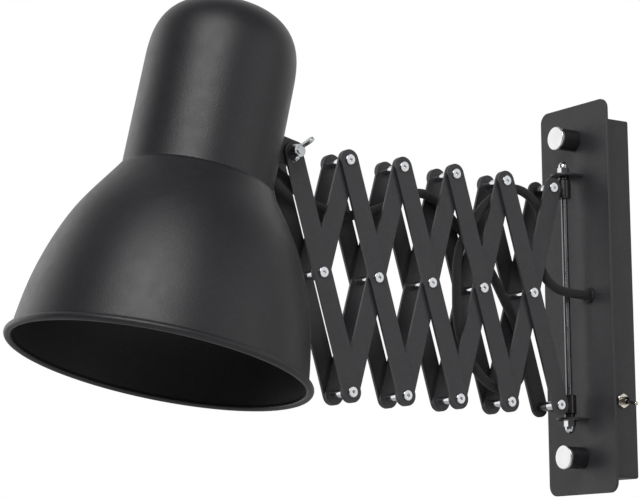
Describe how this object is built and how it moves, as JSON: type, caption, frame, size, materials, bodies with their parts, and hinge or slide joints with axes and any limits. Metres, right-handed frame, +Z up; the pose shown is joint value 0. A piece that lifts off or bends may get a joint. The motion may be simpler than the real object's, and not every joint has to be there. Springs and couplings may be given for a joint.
{
  "type": "accordion wall lamp",
  "caption": "Wall lamp with a bell-shaped tilting shade on a scissor lattice arm that swivels on an upright rod in front of a flat wall box.",
  "frame": {"origin": "middle of the wall face of the lamp's strap and box", "axes": "+Z up, +Y into the wall, the arm folds out along -Y, X across the lattice with the wing nut on +X"},
  "size_m": [0.2104, 0.5116, 0.3341],
  "materials": {
    "black_coat": "satin black powder coat, fine texture",
    "shade_coat": "satin black powder coat outside and inside",
    "bar_coat": "satin black powder coat",
    "collar_black": "gloss black enamel",
    "zinc_steel": "bright zinc plate",
    "polished_rod": "drawn bright steel",
    "chrome": "bright nickel-chrome plate",
    "knob_black": "black moulding",
    "knob_cap": "polished face",
    "moulded_black": "black moulding",
    "nickel": "nickel plate",
    "terminal_plastic": "natural nylon",
    "cord_textile": "braided black textile over a round flex"
  },
  "bodies": {
    "wall_unit": {"wall_strap": "zinc_steel", "wall_box": "black_coat", "front_plate": "black_coat", "terminal_block": "terminal_plastic", "cord_gland": "moulded_black", "switch_body": "moulded_black", "switch_nut": "nickel", "pivot_tabs": "black_coat", "pivot_rod": "polished_rod", "rod_nuts": "chrome", "rod_bushes": "collar_black", "power_cord": "cord_textile"},
    "toggle": {"switch_lever": "nickel"},
    "upper_knob": {"knob_grip_upper": "knob_black", "knob_cap_upper": "knob_cap"},
    "lower_knob": {"knob_grip_lower": "knob_black", "knob_cap_lower": "knob_cap"},
    "swivel": {"collar_upper": "collar_black", "spacer_upper": "chrome", "pin_upper": "chrome"},
    "inner_bars_4": {"inner_bar_4_near": "bar_coat", "inner_bar_4_far": "bar_coat"},
    "outer_bars_4": {"outer_bar_4_near": "bar_coat", "outer_bar_4_far": "bar_coat", "rivets_4": "chrome", "sleeves_4": "chrome"},
    "inner_bars_3": {"inner_bar_3_near": "bar_coat", "inner_bar_3_far": "bar_coat"},
    "outer_bars_3": {"outer_bar_3_near": "bar_coat", "outer_bar_3_far": "bar_coat", "rivets_3": "chrome", "sleeves_3": "chrome"},
    "inner_bars_2": {"inner_bar_2_near": "bar_coat", "inner_bar_2_far": "bar_coat"},
    "outer_bars_2": {"outer_bar_2_near": "bar_coat", "outer_bar_2_far": "bar_coat", "rivets_2": "chrome", "sleeves_2": "chrome"},
    "inner_bars_1": {"inner_bar_1_near": "bar_coat", "inner_bar_1_far": "bar_coat"},
    "outer_bars_1": {"outer_bar_1_near": "bar_coat", "outer_bar_1_far": "bar_coat", "rivets_1": "chrome", "sleeves_1": "chrome"},
    "inner_bars_0": {"inner_bar_0_near": "bar_coat", "inner_bar_0_far": "bar_coat"},
    "outer_bars_0": {"outer_bar_0_near": "bar_coat", "outer_bar_0_far": "bar_coat", "rivets_0": "chrome", "sleeves_0": "chrome"},
    "lower_collar": {"collar_lower": "collar_black", "spacer_lower": "chrome"},
    "head": {"shade": "shade_coat", "head_bracket": "black_coat", "head_bolt": "zinc_steel", "head_washers": "zinc_steel", "neck_grommet": "moulded_black", "lampholder": "moulded_black", "holder_bridge": "zinc_steel"},
    "wing": {"wing_nut": "zinc_steel"}
  },
  "joints": [
    {"name": "switch_toggle", "type": "hinge", "parent": "wall_unit", "child": "toggle", "pos_m": [0.0266, -0.0145, -0.0801], "axis": [0, -1, 0], "range_deg": [0, 30]},
    {"name": "upper_knob_turn", "type": "hinge", "parent": "wall_unit", "child": "upper_knob", "pos_m": [0, -0.036, 0.1225], "axis": [0, -1, 0], "continuous": true},
    {"name": "lower_knob_turn", "type": "hinge", "parent": "wall_unit", "child": "lower_knob", "pos_m": [0, -0.036, -0.1225], "axis": [0, -1, 0], "continuous": true},
    {"name": "arm_swivel", "type": "hinge", "parent": "wall_unit", "child": "swivel", "pos_m": [0, -0.047, 0.081], "axis": [0, 0, 1], "range_deg": [-70, 70], "deforming": ["power_cord"]},
    {"name": "arm_extend", "type": "hinge", "parent": "swivel", "child": "inner_bars_4", "pos_m": [0, -0.067, 0.081], "axis": [-1, 0, 0], "range_deg": [0, 29], "deforming": ["power_cord"]},
    {"name": "cross_4", "type": "hinge", "parent": "inner_bars_4", "child": "outer_bars_4", "pos_m": [0, -0.09105, -0.00178], "axis": [1, 0, 0], "range_deg": [0, 58]},
    {"name": "top_4", "type": "hinge", "parent": "outer_bars_4", "child": "inner_bars_3", "pos_m": [0, -0.11509, 0.081], "axis": [-1, 0, 0], "range_deg": [0, 58]},
    {"name": "cross_3", "type": "hinge", "parent": "inner_bars_3", "child": "outer_bars_3", "pos_m": [0, -0.13914, -0.00178], "axis": [1, 0, 0], "range_deg": [0, 58]},
    {"name": "top_3", "type": "hinge", "parent": "outer_bars_3", "child": "inner_bars_2", "pos_m": [0, -0.16318, 0.081], "axis": [-1, 0, 0], "range_deg": [0, 58]},
    {"name": "cross_2", "type": "hinge", "parent": "inner_bars_2", "child": "outer_bars_2", "pos_m": [0, -0.18723, -0.00178], "axis": [1, 0, 0], "range_deg": [0, 58]},
    {"name": "top_2", "type": "hinge", "parent": "outer_bars_2", "child": "inner_bars_1", "pos_m": [0, -0.21127, 0.081], "axis": [-1, 0, 0], "range_deg": [0, 58]},
    {"name": "cross_1", "type": "hinge", "parent": "inner_bars_1", "child": "outer_bars_1", "pos_m": [0, -0.23531, -0.00178], "axis": [1, 0, 0], "range_deg": [0, 58]},
    {"name": "top_1", "type": "hinge", "parent": "outer_bars_1", "child": "inner_bars_0", "pos_m": [0, -0.25936, 0.081], "axis": [-1, 0, 0], "range_deg": [0, 58]},
    {"name": "cross_0", "type": "hinge", "parent": "inner_bars_0", "child": "outer_bars_0", "pos_m": [0, -0.28341, -0.00178], "axis": [1, 0, 0], "range_deg": [0, 58]},
    {"name": "collar_slide_pivot", "type": "hinge", "parent": "outer_bars_4", "child": "lower_collar", "pos_m": [0, -0.067, -0.08456], "axis": [-1, 0, 0], "range_deg": [0, 29]},
    {"name": "head_tilt", "type": "hinge", "parent": "outer_bars_0", "child": "head", "pos_m": [0, -0.30745, 0.081], "axis": [-1, 0, 0], "range_deg": [-10, 75], "deforming": ["power_cord"]},
    {"name": "wing_turn", "type": "hinge", "parent": "head", "child": "wing", "pos_m": [0.0175, -0.30745, 0.081], "axis": [1, 0, 0], "continuous": true}
  ],
  "couplings": [
    {"joint": "cross_4", "follows": "arm_extend", "ratio": 2},
    {"joint": "top_4", "follows": "arm_extend", "ratio": 2},
    {"joint": "cross_3", "follows": "arm_extend", "ratio": 2},
    {"joint": "top_3", "follows": "arm_extend", "ratio": 2},
    {"joint": "cross_2", "follows": "arm_extend", "ratio": 2},
    {"joint": "top_2", "follows": "arm_extend", "ratio": 2},
    {"joint": "cross_1", "follows": "arm_extend", "ratio": 2},
    {"joint": "top_1", "follows": "arm_extend", "ratio": 2},
    {"joint": "cross_0", "follows": "arm_extend", "ratio": 2},
    {"joint": "collar_slide_pivot", "follows": "arm_extend", "ratio": 1}
  ]
}
